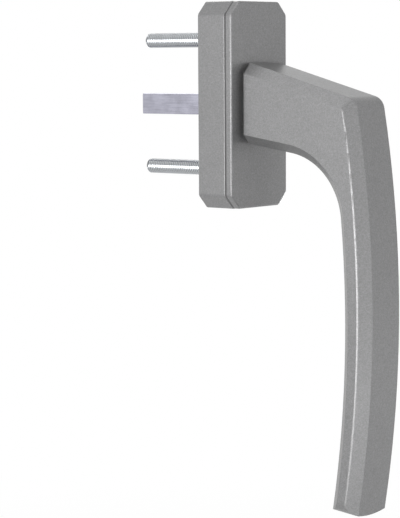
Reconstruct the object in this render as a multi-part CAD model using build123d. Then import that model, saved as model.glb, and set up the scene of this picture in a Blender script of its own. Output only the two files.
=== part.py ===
from build123d import *
import os
from math import cos, radians, sin, sqrt, tan

os.makedirs("parts", exist_ok=True)

# Balcony door pull handle, in millimetres.
# The origin is where the spindle's axis meets the door's face. +Y goes into the door, -Y into the
# room and +Z up. A depth is a distance from the door's face into the room, so that y = -depth.

# Rosette
rosette_width = 30.2
rosette_height = 68.0
corner_cut = 4.3
corner_round = 1.6
base_depth = 11.0
base_wall = 1.8
base_front_wall = 2.2
base_edge_round = 0.35
cover_seam = 0.15
cover_depth = 2.55
cover_wall = 1.0
cover_inset = 0.1
cover_edge_round = 0.6
rib_width = 1.2
rib_setback = 1.5

# Screws and the pegs that they pass through
screw_spacing = 43.0
screw_length = 45.0
screw_radius = 2.5
screw_head_radius = 4.6
screw_head_rim = 0.3
screw_head_sink = 0.1
screw_tip = 0.8
drive_size = 4.4
drive_width = 1.0
drive_depth = 1.8
peg_radius = 5.0
peg_length = 3.0
peg_tip = 0.5
post_radius = 6.3
screw_room = 0.15
post_bore_radius = 3.75

# Hub of the lever and what it turns in
collar_radius = 8.2
journal_radius = 7.4
tail_radius = 6.6
tail_flats = 10.8
tail_depth = 0.4
bush_wall = 1.55
bush_flange_radius = 11.8
bush_flange = 0.75
bush_recess = 1.2
boss_wall = 1.75
boss_end = 5.6
running_gap = 0.05
ring_wall = 1.5
ring_running_gap = 0.1
ring_flange_radius = 13.8
washer_thickness = 0.45
thrust_washer_radius = 10.4
retaining_washer_radius = 9.0
snap_ring_thickness = 0.8
snap_ring_width = 1.9
snap_ring_gap = 4.0
snap_groove = 0.6
snap_ear_radius = 1.2
snap_ear_hole = 0.5

# Detent
cam_size = 14.6
cam_corner_radius = 8.7
cam_thickness = 2.6
spring_thickness = 0.5
spring_length = 26.0
spring_grip = 1.2
seat_width = 3.6
seat_end_wall = 1.4

# Spindle
spindle_size = 7.0
spindle_length = 60.0
spindle_insertion = 24.6
spindle_edge = 0.45
spindle_end = 0.9
socket_play = 0.05
socket_end_room = 0.5

# Lever
neck_gap = 1.55
neck_top = 14.0
neck_bottom = -12.5
neck_top_slope = 15.5
neck_bottom_slope = 8.5
neck_edge_round = 0.6
lever_width = 22.0
lever_reach = 64.15
lever_bottom = -131.0
bow_radius = 380.0
bow_height = -67.5
inner_bow_height = -70.8
grip_thickness = 10.2
outer_corner_radius = 4.8
inner_corner_radius = 22.8
outer_bevel = 3.45
inner_bevel = 3.0
grip_end_slope = 6.0
grip_end_crown = 40.0
grip_end_corner = 4.3
ridge_round = 0.8

# Depths and radii that follow
base_floor = base_depth - base_front_wall
cover_back = base_depth + cover_seam
cover_front = cover_back + cover_depth
neck_start = cover_front + neck_gap
recess_floor = base_depth - bush_recess
collar_end = recess_floor + 2 * running_gap + bush_flange
journal_end = boss_end + 2 * running_gap
bush_inner_radius = journal_radius + running_gap
bush_radius = bush_inner_radius + bush_wall
boss_bore_radius = bush_radius + running_gap
boss_radius = boss_bore_radius + boss_wall
ring_inner_radius = collar_radius + ring_running_gap
ring_radius = ring_inner_radius + ring_wall
cover_hole_radius = ring_radius + running_gap
tail_hole_radius = tail_radius + running_gap
washer_end = boss_end - running_gap
cam_end = washer_end - washer_thickness - running_gap
cam_start = cam_end - cam_thickness
rear_washer_end = cam_start - running_gap
snap_ring_end = rear_washer_end - washer_thickness - running_gap
snap_ring_start = snap_ring_end - snap_ring_thickness
groove_radius = tail_radius - snap_groove
spring_x = cam_size / 2 + (running_gap + spring_thickness) / 2
screw_head_top = base_depth - screw_head_sink
screw_cone_top = screw_head_top - screw_head_rim
screw_cone_end = screw_cone_top - (screw_head_radius - screw_radius)
screw_end = screw_head_top - screw_length
spindle_start = tail_depth + spindle_insertion


def at_depth(depth):
    """Plane parallel to the door, looking into the room."""
    return Plane(origin=(0, -depth, 0), x_dir=(1, 0, 0), z_dir=(0, -1, 0))


def slab(outline, start, end):
    """The outline, drawn in x and z, between two depths."""
    return extrude(at_depth(start) * outline, amount=end - start)


def turned(points, z=0.0):
    """Solid of revolution about an axis square to the door, from radius and depth pairs."""
    corners = [(radius, -depth) for radius, depth in points]
    profile = make_face(Polyline(*corners, close=True))
    return Pos(0, 0, z) * revolve(profile, Axis.Y)


def washer(inner_radius, outer_radius, start, end):
    return slab(Circle(outer_radius) - Circle(inner_radius), start, end)


def double_d(radius, flats):
    """Circle with two flats, that far apart in x."""
    return Circle(radius) & Rectangle(flats, 2 * radius)


def rosette_outline(inset):
    """Rectangle with cut corners, set in from the rosette's edge all round."""
    outline = Rectangle(rosette_width - 2 * inset, rosette_height - 2 * inset)
    outline = chamfer(outline.vertices(), corner_cut - inset * (2 - sqrt(2)))
    return fillet(outline.vertices(), corner_round)


def bow(radius, z):
    """Depth, at a height, of a bow that shares its centre with the grip's front."""
    return lever_reach - bow_radius + sqrt(radius**2 - (z - bow_height) ** 2)


def spring_seat(x_side, z_side):
    """Block on the rosette's floor with the slot that one end of a leaf spring stands in."""
    slot_end = spring_length / 2 + running_gap
    slot_start = spring_length / 2 - spring_grip
    block_end = slot_end + seat_end_wall
    block_middle = z_side * (slot_start + block_end) / 2
    block = Pos(x_side * spring_x, block_middle) * Rectangle(seat_width, block_end - slot_start)
    slot_middle = z_side * (slot_start + slot_end) / 2
    slot_width = spring_thickness + 2 * running_gap
    slot = Pos(x_side * spring_x, slot_middle) * Rectangle(slot_width, slot_end - slot_start)
    seat = slab(block, rib_setback, base_floor)
    return seat - slab(slot, 0, cam_end + running_gap)


def make_rosette_base():
    """Die-cast tray, open to the door, with a bearing boss and two hollow pegs."""
    base = slab(rosette_outline(0), 0, base_depth)
    base = fillet(base.faces().sort_by(Axis.Y)[0].edges(), base_edge_round)
    base -= slab(rosette_outline(base_wall), 0, base_floor)

    across = Rectangle(rosette_width - base_wall, rib_width)
    inside_height = rosette_height / 2 - base_wall / 2
    for side in (-1, 1):
        post_z = side * screw_spacing / 2
        base += slab(Pos(0, post_z) * across, rib_setback, base_floor)
        upright_length = inside_height - screw_spacing / 2
        upright_z = side * (screw_spacing / 2 + upright_length / 2)
        upright = Pos(0, upright_z) * Rectangle(rib_width, upright_length)
        base += slab(upright, rib_setback, base_floor)
        web_length = (rosette_width - base_wall) / 2 - boss_bore_radius
        web_x = side * (boss_bore_radius + web_length / 2)
        base += slab(Pos(web_x, 0) * Rectangle(web_length, rib_width), rib_setback, base_floor)
        base += slab(Pos(0, post_z) * Circle(post_radius), 0, base_floor)
        base += slab(Pos(0, post_z) * Circle(peg_radius), -peg_length, 0)
        for z_side in (-1, 1):
            base += spring_seat(side, z_side)
    base += slab(Circle(boss_radius), boss_end, base_floor)
    base -= slab(Circle(thrust_washer_radius + running_gap), 0, boss_end)
    base -= slab(Circle(bush_flange_radius + running_gap), recess_floor, base_depth)
    base -= slab(Circle(boss_bore_radius), boss_end, base_depth)

    # The cone stands off the screw's by running_gap, and opens into a wider bore behind it.
    seat_radius = screw_radius + screw_room
    seat_back = screw_cone_end - running_gap
    cone_end = screw_cone_end + seat_radius - screw_radius - running_gap
    cone_top = base_depth + running_gap
    cone_radius = seat_radius + cone_top - cone_end
    hole = [
        (0, cone_top),
        (cone_radius, cone_top),
        (seat_radius, cone_end),
        (seat_radius, seat_back),
        (post_bore_radius, seat_back),
        (post_bore_radius, -peg_length),
        (0, -peg_length),
    ]
    for side in (-1, 1):
        base -= turned(hole, side * screw_spacing / 2)
    tips = base.edges().filter_by(GeomType.CIRCLE).group_by(Axis.Y)[-1]
    return chamfer([tip for tip in tips if tip.radius > post_bore_radius], peg_tip)


def make_cover_plate():
    """Thin cap over the rosette's base, hollow behind its rim."""
    cover = slab(rosette_outline(cover_inset), cover_back, cover_front)
    cover = fillet(cover.faces().sort_by(Axis.Y)[0].edges(), cover_edge_round)
    cover -= slab(rosette_outline(cover_inset + cover_wall), cover_back, cover_front - cover_wall)
    return cover - slab(Circle(cover_hole_radius), cover_back, cover_front)


def make_cover_ring():
    """Flanged guide ring that centres the cover plate on the lever's collar."""
    flange_front = cover_front - cover_wall - running_gap
    flange_back = base_depth + running_gap
    return turned(
        [
            (ring_inner_radius, flange_back),
            (ring_flange_radius, flange_back),
            (ring_flange_radius, flange_front),
            (ring_radius, flange_front),
            (ring_radius, cover_front),
            (ring_inner_radius, cover_front),
        ]
    )


def make_bearing_bush():
    """Flanged bush, pushed into the rosette's boss from the front."""
    flange_back = recess_floor + running_gap
    return turned(
        [
            (bush_inner_radius, boss_end + running_gap),
            (bush_radius, boss_end + running_gap),
            (bush_radius, flange_back),
            (bush_flange_radius, flange_back),
            (bush_flange_radius, flange_back + bush_flange),
            (bush_inner_radius, flange_back + bush_flange),
        ]
    )


def make_detent_cam():
    cam = Rectangle(cam_size, cam_size) & Circle(cam_corner_radius)
    cam -= double_d(tail_hole_radius, tail_flats + 2 * running_gap)
    return slab(cam, cam_start, cam_end)


def make_detent_spring(side):
    leaf = Pos(side * spring_x, 0) * Rectangle(spring_thickness - running_gap, spring_length)
    return slab(leaf, cam_start, cam_end)


def make_retaining_ring():
    """Open snap ring with two holed ears."""
    outer_radius = groove_radius + snap_ring_width
    ring = Circle(outer_radius) - Circle(groove_radius + running_gap)
    ring -= Pos(0, outer_radius) * Rectangle(snap_ring_gap, 2 * snap_ring_width + 2 * running_gap)
    ear_x = snap_ring_gap / 2 + snap_ear_radius
    ear_z = outer_radius - snap_ear_radius / 2
    for side in (-1, 1):
        ring += Pos(side * ear_x, ear_z) * Circle(snap_ear_radius)
        ring -= Pos(side * ear_x, ear_z) * Circle(snap_ear_hole)
    ring -= Circle(groove_radius + running_gap)
    return slab(ring, snap_ring_start, snap_ring_end)


def make_spindle():
    """Square bar with softened edges and bevelled ends."""
    bar = slab(Rectangle(spindle_size, spindle_size), spindle_start - spindle_length, spindle_start)
    bar = chamfer(bar.faces().filter_by(Axis.Y).edges(), spindle_end)
    long_edges = bar.edges().filter_by(Axis.Y)
    return fillet(long_edges, spindle_edge)


def make_screw(z):
    """Countersunk screw with a cross drive."""
    screw = turned(
        [
            (0, screw_head_top),
            (screw_head_radius, screw_head_top),
            (screw_head_radius, screw_cone_top),
            (screw_radius, screw_cone_end),
            (screw_radius, screw_end + screw_tip),
            (screw_radius - screw_tip, screw_end),
            (0, screw_end),
        ],
        z,
    )
    cross = Rectangle(drive_size, drive_width) + Rectangle(drive_width, drive_size)
    drive_floor = screw_head_top - drive_depth
    drive = slab(Pos(0, z) * cross, drive_floor, screw_head_top)
    taper = [
        (0, screw_head_top),
        (drive_size / 2, screw_head_top),
        (drive_width / 2, drive_floor),
        (0, drive_floor),
    ]
    return screw - (drive & turned(taper, z))


def lever_profile():
    """Side view of the neck and grip, with depth across and height up."""
    # The neck's slopes are drawn out to far, and the grip down to below, past its end.
    far = 2 * lever_reach
    below = lever_bottom - grip_thickness
    neck_run = far - neck_start
    top_at_far = neck_top - neck_run * tan(radians(neck_top_slope))
    bottom_at_far = neck_bottom - neck_run * tan(radians(neck_bottom_slope))
    low_near = (neck_start, below)
    low_far = (far, below)
    band = Polygon((neck_start, neck_top), low_near, low_far, (far, top_at_far), align=None)
    hollow = Polygon((neck_start, neck_bottom), low_near, low_far, (far, bottom_at_far), align=None)
    front = Pos(lever_reach - bow_radius, bow_height) * Circle(bow_radius)
    back = Pos(lever_reach - bow_radius, inner_bow_height) * Circle(bow_radius - grip_thickness)
    profile = (band & front) - (hollow & back)

    # The neck's two corners are the highest ones away from the rosette.
    away = [corner for corner in profile.vertices() if corner.X > neck_start + neck_gap]
    inner_corner, outer_corner = sorted(away, key=lambda corner: corner.Y)[-2:]
    profile = fillet(inner_corner, inner_corner_radius)
    outer_corner = profile.vertices().sort_by_distance((outer_corner.X, outer_corner.Y))[0]
    return fillet(outer_corner, outer_corner_radius)


def long_edges(bar, outer):
    """Edges along the bar's two sides: the outer ones face up or into the room."""
    chosen = []
    for edge in bar.edges():
        middle = edge @ 0.5
        depth = -middle.Y
        on_side = abs(middle.X) > lever_width / 2 - running_gap
        at_neck_end = depth < neck_start + neck_gap
        at_grip_end = middle.Z < lever_bottom - grip_thickness / 2
        is_outer = middle.Z > 0 or depth > bow(bow_radius - grip_thickness / 2, middle.Z)
        if on_side and not at_neck_end and not at_grip_end and is_outer == outer:
            chosen.append(edge)
    return chosen


def grip_end_cut():
    """What the grip keeps of its end, square to its front: a crown with rounded corners."""
    lean = radians(grip_end_slope)
    end_depth = bow(bow_radius - grip_thickness / 2, lever_bottom)
    across = Plane(
        origin=(0, -end_depth, lever_bottom), x_dir=(1, 0, 0), z_dir=(0, -cos(lean), -sin(lean))
    )
    tall = 2 * (neck_top - lever_bottom)
    outline = Pos(0, tall / 2) * Rectangle(lever_width, tall)
    above = Pos(0, grip_end_crown + tall / 2) * Rectangle(lever_width, tall)
    outline &= Pos(0, grip_end_crown) * Circle(grip_end_crown) + above
    outline = fillet(outline.vertices().group_by(Axis.Y)[0], grip_end_corner)
    return extrude(across * outline, amount=2 * lever_reach, both=True)


def make_grip_and_neck():
    """Bevelled bar that leaves the rosette as the neck and bends down into the bowed grip."""
    side_plane = Plane(origin=(0, 0, 0), x_dir=(0, -1, 0), z_dir=(-1, 0, 0))
    bar = extrude(side_plane * lever_profile(), amount=lever_width / 2, both=True)
    bar = chamfer(long_edges(bar, outer=True), outer_bevel)
    bar = chamfer(long_edges(bar, outer=False), inner_bevel)
    bar = fillet(long_edges(bar, outer=True), ridge_round)
    bar &= grip_end_cut()
    return fillet(bar.faces().sort_by(Axis.Y)[-1].edges(), neck_edge_round)


def make_lever():
    """Grip, neck and the hub that goes through the rosette, cast in one piece."""
    lever = make_grip_and_neck()
    lever += slab(Circle(collar_radius), collar_end, neck_start + neck_gap)
    lever += slab(Circle(journal_radius), journal_end, collar_end)
    lever += slab(double_d(tail_radius, tail_flats), tail_depth, journal_end)
    lever -= washer(groove_radius, collar_radius, snap_ring_start - running_gap, snap_ring_end + running_gap)
    socket = spindle_size + 2 * socket_play
    return lever - slab(Rectangle(socket, socket), tail_depth, spindle_start + socket_end_room)


screws = Compound(children=[make_screw(side * screw_spacing / 2) for side in (-1, 1)])
pieces = {
    "rosette_base": make_rosette_base(),
    "cover_plate": make_cover_plate(),
    "cover_ring": make_cover_ring(),
    "bearing_bush": make_bearing_bush(),
    "thrust_washer": washer(
        tail_hole_radius, thrust_washer_radius, washer_end - washer_thickness, washer_end
    ),
    "detent_cam": make_detent_cam(),
    "detent_spring_left": make_detent_spring(-1),
    "detent_spring_right": make_detent_spring(1),
    "retaining_washer": washer(
        tail_hole_radius, retaining_washer_radius, rear_washer_end - washer_thickness, rear_washer_end
    ),
    "retaining_ring": make_retaining_ring(),
    "spindle": make_spindle(),
    "mounting_screws": screws,
    "lever": make_lever(),
}
for name, piece in pieces.items():
    export_step(piece, f"parts/{name}.step")
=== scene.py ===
"""The look of a balcony door pull handle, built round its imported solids. Lengths are in metres."""

import math

import bmesh
import bpy
from mathutils import Matrix, Vector


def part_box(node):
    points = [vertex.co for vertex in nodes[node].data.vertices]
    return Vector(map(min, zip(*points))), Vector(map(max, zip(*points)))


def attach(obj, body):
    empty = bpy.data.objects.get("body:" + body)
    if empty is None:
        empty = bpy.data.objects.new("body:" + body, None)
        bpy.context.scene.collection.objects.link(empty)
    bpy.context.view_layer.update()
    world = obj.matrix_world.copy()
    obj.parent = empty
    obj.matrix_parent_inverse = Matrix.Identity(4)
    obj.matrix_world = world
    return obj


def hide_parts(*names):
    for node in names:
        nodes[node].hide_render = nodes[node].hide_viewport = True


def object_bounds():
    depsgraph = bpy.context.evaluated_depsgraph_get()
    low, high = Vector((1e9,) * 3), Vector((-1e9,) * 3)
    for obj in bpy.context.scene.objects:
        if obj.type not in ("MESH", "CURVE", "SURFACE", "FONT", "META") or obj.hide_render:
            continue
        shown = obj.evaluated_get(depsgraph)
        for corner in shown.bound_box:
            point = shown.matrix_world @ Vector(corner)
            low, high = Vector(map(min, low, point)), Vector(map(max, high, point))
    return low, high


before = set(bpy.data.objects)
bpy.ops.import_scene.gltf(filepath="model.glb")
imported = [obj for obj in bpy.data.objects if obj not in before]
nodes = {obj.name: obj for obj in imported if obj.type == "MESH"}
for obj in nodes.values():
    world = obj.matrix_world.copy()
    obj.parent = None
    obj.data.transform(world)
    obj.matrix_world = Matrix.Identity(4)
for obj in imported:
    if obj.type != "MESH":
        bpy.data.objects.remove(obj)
cad_low, cad_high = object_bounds()

MM = 0.001

# Camera, fitted to the photograph: where it stands, and the angles that it looks from
camera_place = Vector((-0.52867, -0.41907, 0.01668))
camera_azimuth = -50.803
camera_elevation = 5.816
camera_roll = -0.356
camera_lens = 139.62
camera_clip = (0.05, 20.0)

# Floor, well below the grip because the handle hangs from its rosette
floor_drop = 0.12
floor_radius = 2.5
floor_sides = 96
floor_tone = 0.86
floor_white = 0.86
floor_fade_radius = 0.6

# Light that the surroundings give to matt surfaces, where white is 1
ambient = 0.08

# Lamps, facing the handle's middle: distance from it, azimuth, elevation, width, height and power.
# Fill and low stand nearer, because at 1 m they would be under the floor.
lamps = {
    "key": (1.0, -74, -3, 0.4, 0.6, 6.9),
    "side": (1.0, -112, 8, 0.5, 0.5, 1.2),
    "top": (1.0, -120, 60, 0.5, 0.5, 1.4),
    "front": (1.0, 0, -6, 0.5, 0.5, 2.8),
    "front_top": (1.0, 0, 60, 0.5, 0.5, 1.2),
    "fill": (0.6, 90, -14, 0.3, 0.06, 0.9),
    "back": (1.0, 140, 30, 0.5, 0.5, 2.0),
    "low": (0.45, -52, -21, 0.25, 0.08, 0.28),
}

# Tone of the paint on the lever, the cover and the rosette
paint_tone = 0.24

# Range that most of a noise texture lies in
noise_low = 0.3
noise_high = 0.7

# Painted shade along the cover's rear edge, where it meets the rosette: how far it reaches forwards, its
# darkest part, and its tone
seam_shade_width = 0.6 * MM
seam_shade_darkest = 0.3 * MM
seam_shade_tone = 0.45

# Threads of the screws, with the tone of the shade painted into their roots, and the height of the heads,
# which stay as packed
thread_pitch = 0.8 * MM
thread_outer_radius = 2.47 * MM
thread_inner_radius = 2.02 * MM
thread_neck_radius = 2.2 * MM
thread_neck = 0.7 * MM
thread_tip_radius = 1.75 * MM
thread_tip_length = 0.7 * MM
thread_segments = 40
root_shade_tone = 0.2
screw_head_height = 2.4 * MM
sharp_angle = math.radians(32)
weld = 0.002 * MM


def at(distance, azimuth, elevation):
    """Point at that distance from the origin, seen from it as the camera's angles are counted."""
    a, e = math.radians(azimuth), math.radians(elevation)
    direction = Vector((math.sin(a) * math.cos(e), -math.cos(a) * math.cos(e), math.sin(e)))
    return direction * distance


def add_camera():
    data = bpy.data.cameras.new("camera")
    data.lens = camera_lens
    data.clip_start, data.clip_end = camera_clip
    camera = bpy.data.objects.new("camera", data)
    bpy.context.scene.collection.objects.link(camera)
    back = at(1.0, camera_azimuth, camera_elevation)
    right = Vector((0, 0, 1)).cross(back).normalized()
    up = back.cross(right)
    turned = Matrix((right, up, back)).transposed() @ Matrix.Rotation(math.radians(camera_roll), 3, "Z")
    camera.rotation_mode = "QUATERNION"
    camera.rotation_quaternion = turned.to_quaternion()
    camera.location = camera_place
    bpy.context.scene.camera = camera


def add_softbox(name, place, target, width, height, power):
    """Rectangular lamp at place, facing target."""
    data = bpy.data.lights.new(name, "AREA")
    data.shape = "RECTANGLE"
    data.size = width
    data.size_y = height
    data.energy = power
    lamp = bpy.data.objects.new(name, data)
    bpy.context.scene.collection.objects.link(lamp)
    lamp.rotation_mode = "QUATERNION"
    lamp.rotation_quaternion = (target - place).to_track_quat("-Z", "Y")
    lamp.location = place


def add_lights():
    middle = (cad_low + cad_high) / 2
    for name, (distance, azimuth, elevation, width, height, power) in lamps.items():
        place = middle + at(distance, azimuth, elevation)
        add_softbox(name, place, middle, width, height, power)


def seen_directly(tree):
    """1 on the rays that show the background, in the camera, in gloss and through glass."""
    path = tree.nodes.new("ShaderNodeLightPath")
    total = path.outputs["Is Camera Ray"]
    for ray in ("Is Glossy Ray", "Is Transmission Ray"):
        larger = tree.nodes.new("ShaderNodeMath")
        larger.operation = "MAXIMUM"
        tree.links.new(total, larger.inputs[0])
        tree.links.new(path.outputs[ray], larger.inputs[1])
        total = larger.outputs[0]
    return total


def add_world():
    world = bpy.data.worlds.new("studio")
    bpy.context.scene.world = world
    world.use_nodes = True
    tree = world.node_tree
    tree.nodes.clear()
    background = tree.nodes.new("ShaderNodeBackground")
    background.inputs["Color"].default_value = (1, 1, 1, 1)
    output = tree.nodes.new("ShaderNodeOutputWorld")
    strength = tree.nodes.new("ShaderNodeMapRange")
    strength.inputs["To Min"].default_value = ambient
    strength.inputs["To Max"].default_value = 1.0
    tree.links.new(seen_directly(tree), strength.inputs["Value"])
    tree.links.new(strength.outputs["Result"], background.inputs["Strength"])
    tree.links.new(background.outputs[0], output.inputs["Surface"])


def add_floor():
    """Pale floor whose shadow fades out into white."""
    bpy.ops.mesh.primitive_circle_add(vertices=floor_sides, radius=floor_radius, fill_type="NGON")
    floor = bpy.context.object
    floor.name = "floor"
    floor.location = (0, 0, cad_low.z - floor_drop)
    material = bpy.data.materials.new("floor")
    material.use_nodes = True
    tree = material.node_tree
    tree.nodes.clear()
    pale = tree.nodes.new("ShaderNodeBsdfDiffuse")
    pale.inputs["Color"].default_value = (floor_tone, floor_tone, floor_tone, 1)
    white = tree.nodes.new("ShaderNodeEmission")
    mix = tree.nodes.new("ShaderNodeMixShader")
    output = tree.nodes.new("ShaderNodeOutputMaterial")
    place = tree.nodes.new("ShaderNodeTexCoord")
    distance = tree.nodes.new("ShaderNodeVectorMath")
    distance.operation = "LENGTH"
    fade = tree.nodes.new("ShaderNodeMapRange")
    fade.interpolation_type = "SMOOTHSTEP"
    fade.inputs["From Max"].default_value = floor_fade_radius
    fade.inputs["To Min"].default_value = floor_white
    fade.inputs["To Max"].default_value = 1.0
    share = tree.nodes.new("ShaderNodeMath")
    share.operation = "MULTIPLY"
    tree.links.new(place.outputs["Object"], distance.inputs[0])
    tree.links.new(distance.outputs["Value"], fade.inputs["Value"])
    tree.links.new(fade.outputs["Result"], share.inputs[0])
    tree.links.new(seen_directly(tree), share.inputs[1])
    tree.links.new(share.outputs[0], mix.inputs[0])
    tree.links.new(pale.outputs[0], mix.inputs[1])
    tree.links.new(white.outputs[0], mix.inputs[2])
    tree.links.new(mix.outputs[0], output.inputs["Surface"])
    floor.data.materials.append(material)


def new_material(name, metallic, roughness):
    """Material with its shader, and the place in the piece's own frame that its textures follow."""
    material = bpy.data.materials.new(name)
    material.use_nodes = True
    tree = material.node_tree
    shader = tree.nodes["Principled BSDF"]
    shader.inputs["Metallic"].default_value = metallic
    shader.inputs["Roughness"].default_value = roughness
    place = tree.nodes.new("ShaderNodeTexCoord")
    return material, tree, shader, place.outputs["Object"]


def noise(tree, place, size, detail=2.0, stretch=(1, 1, 1)):
    """Noise whose lumps are about that size, drawn out along an axis by a stretch over 1."""
    mapping = tree.nodes.new("ShaderNodeMapping")
    mapping.inputs["Scale"].default_value = [1 / factor for factor in stretch]
    texture = tree.nodes.new("ShaderNodeTexNoise")
    texture.inputs["Scale"].default_value = 1 / size
    texture.inputs["Detail"].default_value = detail
    tree.links.new(place, mapping.inputs["Vector"])
    tree.links.new(mapping.outputs[0], texture.inputs["Vector"])
    return texture.outputs["Fac"]


def flakes(tree, place, size):
    """A random value from 0 to 1 for each flake."""
    texture = tree.nodes.new("ShaderNodeTexVoronoi")
    texture.inputs["Scale"].default_value = 1 / size
    parts = tree.nodes.new("ShaderNodeSeparateColor")
    tree.links.new(place, texture.inputs["Vector"])
    tree.links.new(texture.outputs["Color"], parts.inputs[0])
    return parts.outputs[0]


def ranged(tree, value, low, high, start=0.0, end=1.0):
    """Value, spread from start..end to low..high."""
    spread = tree.nodes.new("ShaderNodeMapRange")
    spread.inputs["From Min"].default_value = start
    spread.inputs["From Max"].default_value = end
    spread.inputs["To Min"].default_value = low
    spread.inputs["To Max"].default_value = high
    tree.links.new(value, spread.inputs["Value"])
    return spread.outputs["Result"]


def varied(tree, texture, amount):
    """A brightness that goes up and down from 1 by that amount, as the noise does."""
    return ranged(tree, texture, 1 - amount, 1 + amount, noise_low, noise_high)


def times(tree, a, b):
    product = tree.nodes.new("ShaderNodeMath")
    product.operation = "MULTIPLY"
    tree.links.new(a, product.inputs[0])
    tree.links.new(b, product.inputs[1])
    return product.outputs[0]


def shaded(tree, colour, brightness):
    """The colour, made lighter or darker by a value round 1."""
    scaled = tree.nodes.new("ShaderNodeVectorMath")
    scaled.operation = "SCALE"
    scaled.inputs[0].default_value = colour
    tree.links.new(brightness, scaled.inputs["Scale"])
    return scaled.outputs[0]


def add_bumps(tree, shader, layers):
    """Bumps laid over each other, from pairs of height and depth in metres."""
    normal = None
    for height, depth in layers:
        bump = tree.nodes.new("ShaderNodeBump")
        bump.inputs["Distance"].default_value = depth
        tree.links.new(height, bump.inputs["Height"])
        if normal is not None:
            tree.links.new(normal, bump.inputs["Normal"])
        normal = bump.outputs[0]
    tree.links.new(normal, shader.inputs["Normal"])


def painted_seam_shade(tree, place):
    """Painted shade: darkens the cover's rear edge, along its seam with the rosette, where shade falls."""
    parts = tree.nodes.new("ShaderNodeSeparateXYZ")
    tree.links.new(place, parts.inputs[0])
    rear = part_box("cover_plate")[1].y
    return ranged(tree, parts.outputs["Y"], 1.0, seam_shade_tone, rear - seam_shade_width, rear - seam_shade_darkest)


def screw_height():
    """Height of the upper screw's axis. The lower one lies as far below the spindle's axis."""
    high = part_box("mounting_screws")[1]
    return high.z - high.x


def painted_root_shade(tree, place):
    """Painted shade in the thread roots, together with the plating's darker tone there: darkens the screws
    towards the roots of their threads, by the distance from each one's axis.
    """
    parts = tree.nodes.new("ShaderNodeSeparateXYZ")
    tree.links.new(place, parts.inputs[0])
    upward = tree.nodes.new("ShaderNodeMath")
    upward.operation = "ABSOLUTE"
    tree.links.new(parts.outputs["Z"], upward.inputs[0])
    across = tree.nodes.new("ShaderNodeCombineXYZ")
    tree.links.new(parts.outputs["X"], across.inputs["X"])
    tree.links.new(upward.outputs[0], across.inputs["Z"])
    radius = tree.nodes.new("ShaderNodeVectorMath")
    radius.operation = "DISTANCE"
    radius.inputs[1].default_value = (0, 0, screw_height())
    tree.links.new(across.outputs[0], radius.inputs[0])
    return ranged(tree, radius.outputs["Value"], root_shade_tone, 1.0, thread_inner_radius, thread_outer_radius)


def metallic_paint(name, shade=None):
    """Powder paint: a fine pebbled skin with small bright flakes in it."""
    material, tree, shader, place = new_material(name, metallic=0.5, roughness=0.35)
    shader.inputs["Specular IOR Level"].default_value = 0.3
    grain = varied(tree, noise(tree, place, size=0.6 * MM, detail=3.0), amount=0.09)
    sparkle = ranged(tree, flakes(tree, place, size=0.22 * MM), low=0.89, high=1.13)
    cloud = varied(tree, noise(tree, place, size=9 * MM), amount=0.015)
    brightness = times(tree, times(tree, grain, sparkle), cloud)
    # A shade, where given, is shade painted into the colour.
    if shade:
        brightness = times(tree, brightness, shade(tree, place))
    colour = (paint_tone, paint_tone, paint_tone * 1.01)
    tree.links.new(shaded(tree, colour, brightness), shader.inputs["Base Color"])
    shine = ranged(tree, flakes(tree, place, size=0.2 * MM), low=0.29, high=0.41)
    tree.links.new(shine, shader.inputs["Roughness"])
    peel = noise(tree, place, size=0.9 * MM, detail=1.0)
    pebble = noise(tree, place, size=0.35 * MM, detail=2.0)
    add_bumps(tree, shader, [(peel, 0.02 * MM), (pebble, 0.012 * MM)])
    return material


def plated_metal(name, colour, roughness, line_axis=None, contrast=0.05, shade=None):
    """Bright metal with faint streaks, drawn out along an axis where one is given."""
    material, tree, shader, place = new_material(name, metallic=1.0, roughness=roughness)
    stretch = [20 if axis == line_axis else 1 for axis in "XYZ"]
    streaks = noise(tree, place, size=0.3 * MM, detail=4.0, stretch=stretch)
    stain = noise(tree, place, size=4 * MM, detail=3.0)
    brightness = times(tree, varied(tree, streaks, contrast), varied(tree, stain, contrast))
    # A shade, where given, is shade painted into the colour.
    if shade:
        brightness = times(tree, brightness, shade(tree, place))
    tree.links.new(shaded(tree, colour, brightness), shader.inputs["Base Color"])
    shine = ranged(tree, stain, low=roughness * 0.8, high=roughness * 1.25)
    tree.links.new(shine, shader.inputs["Roughness"])
    add_bumps(tree, shader, [(streaks, 0.002 * MM)])
    return material


def moulded_plastic(name, colour):
    """Nylon with the faint eroded skin of its mould."""
    material, tree, shader, place = new_material(name, metallic=0.0, roughness=0.48)
    skin = noise(tree, place, size=0.25 * MM, detail=3.0)
    cloud = ranged(tree, noise(tree, place, size=5 * MM), low=0.95, high=1.05)
    tree.links.new(shaded(tree, colour, cloud), shader.inputs["Base Color"])
    tree.links.new(ranged(tree, skin, low=0.42, high=0.56), shader.inputs["Roughness"])
    add_bumps(tree, shader, [(skin, 0.008 * MM)])
    return material


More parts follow.
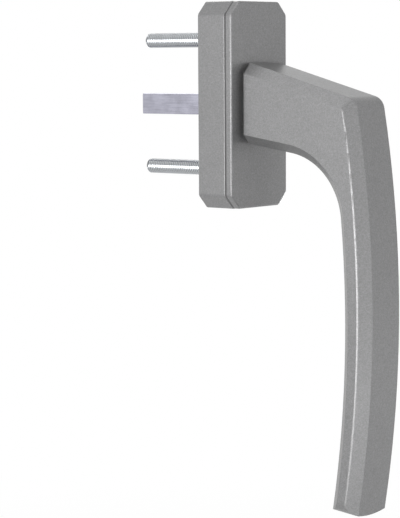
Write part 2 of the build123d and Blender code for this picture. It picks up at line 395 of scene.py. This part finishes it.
def finish_nodes():
    """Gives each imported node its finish."""
    paint = metallic_paint("powder_paint")
    zinc = plated_metal("zinc_plate", (0.62, 0.65, 0.68), roughness=0.26)
    spring_steel = plated_metal("blued_spring_steel", (0.2, 0.21, 0.24), roughness=0.3, line_axis="Z")
    bright_plate = plated_metal(
        "bright_plate", (0.42, 0.42, 0.49), roughness=0.12, line_axis="Y", contrast=0.12)
    finishes = {
        "lever": paint,
        # The cover's paint has shade painted along its seam with the rosette.
        "cover_plate": metallic_paint("powder_paint_cover", painted_seam_shade),
        "rosette_base": paint,
        "cover_ring": moulded_plastic("grey_nylon", (0.16, 0.165, 0.17)),
        "bearing_bush": moulded_plastic("white_nylon", (0.72, 0.71, 0.67)),
        "thrust_washer": zinc,
        "retaining_washer": zinc,
        "detent_cam": plated_metal("hardened_steel", (0.36, 0.36, 0.37), roughness=0.34),
        "detent_spring_left": spring_steel,
        "detent_spring_right": spring_steel,
        "retaining_ring": plated_metal("blued_ring_steel", (0.13, 0.13, 0.15), roughness=0.35),
        "spindle": bright_plate,
    }
    for name, material in finishes.items():
        for slot in nodes[name].material_slots:
            slot.material = material


def add_thread(bm, z, start, end):
    """Closed threaded shank along Y at that height, from the head's side to the tip."""
    # Shares of a pitch where the root, the rise, the crest and the fall of the thread start
    shares = (0.0, 0.25, 0.56, 0.69)
    radii = (thread_inner_radius, thread_inner_radius, thread_outer_radius, thread_outer_radius)
    tip_slope = (thread_outer_radius - thread_tip_radius) / thread_tip_length
    turns = math.ceil((end - start) / thread_pitch) + 1
    columns = []
    for segment in range(thread_segments):
        angle = math.tau * segment / thread_segments
        column = []
        for turn in range(-1, turns):
            for share, radius in zip(shares, radii):
                along = thread_pitch * (turn + share + segment / thread_segments)
                y = min(max(start + along, start), end)
                if y < start + thread_neck:
                    radius = thread_neck_radius
                radius = min(radius, thread_tip_radius + (end - y) * tip_slope)
                column.append(bm.verts.new((radius * math.sin(angle), y, z + radius * math.cos(angle))))
        columns.append(column)
    for segment, column in enumerate(columns):
        # The last column meets the first one a whole pitch further along.
        last = segment == thread_segments - 1
        shift = len(shares) if last else 0
        after = columns[0] if last else columns[segment + 1]
        for near in range(len(column) - 1 - shift):
            far = near + shift
            bm.faces.new((column[near], column[near + 1], after[far + 1], after[far]))


def threaded_screws():
    """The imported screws' heads, with threads cut on their shanks."""
    source = nodes["mounting_screws"]
    low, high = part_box("mounting_screws")
    bm = bmesh.new()
    bm.from_mesh(source.data)
    bmesh.ops.remove_doubles(bm, verts=bm.verts, dist=weld)
    head_end = low.y + screw_head_height
    geometry = list(bm.verts) + list(bm.edges) + list(bm.faces)
    bmesh.ops.bisect_plane(bm, geom=geometry, plane_co=(0, head_end, 0), plane_no=(0, 1, 0), clear_outer=True)
    bmesh.ops.holes_fill(bm, edges=[edge for edge in bm.edges if edge.is_boundary])
    for side in (-1, 1):
        add_thread(bm, side * screw_height(), head_end, high.y)
    bmesh.ops.remove_doubles(bm, verts=bm.verts, dist=weld)
    bmesh.ops.dissolve_degenerate(bm, edges=bm.edges, dist=weld)
    bmesh.ops.holes_fill(bm, edges=[edge for edge in bm.edges if edge.is_boundary])
    bmesh.ops.recalc_face_normals(bm, faces=bm.faces)
    mesh = bpy.data.meshes.new("threaded_screws")
    bm.to_mesh(mesh)
    bm.free()
    mesh.shade_smooth()
    mesh.set_sharp_from_angle(angle=sharp_angle)
    # The screws' zinc has shade painted into the roots of the threads.
    zinc = plated_metal("zinc_screws", (0.56, 0.58, 0.6), roughness=0.22, shade=painted_root_shade)
    mesh.materials.append(zinc)
    screws = bpy.data.objects.new("threaded_screws", mesh)
    bpy.context.scene.collection.objects.link(screws)
    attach(screws, "rosette")
    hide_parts("mounting_screws")


bpy.context.scene.view_settings.view_transform = "Standard"
add_camera()
add_world()
add_lights()
add_floor()
finish_nodes()
threaded_screws()
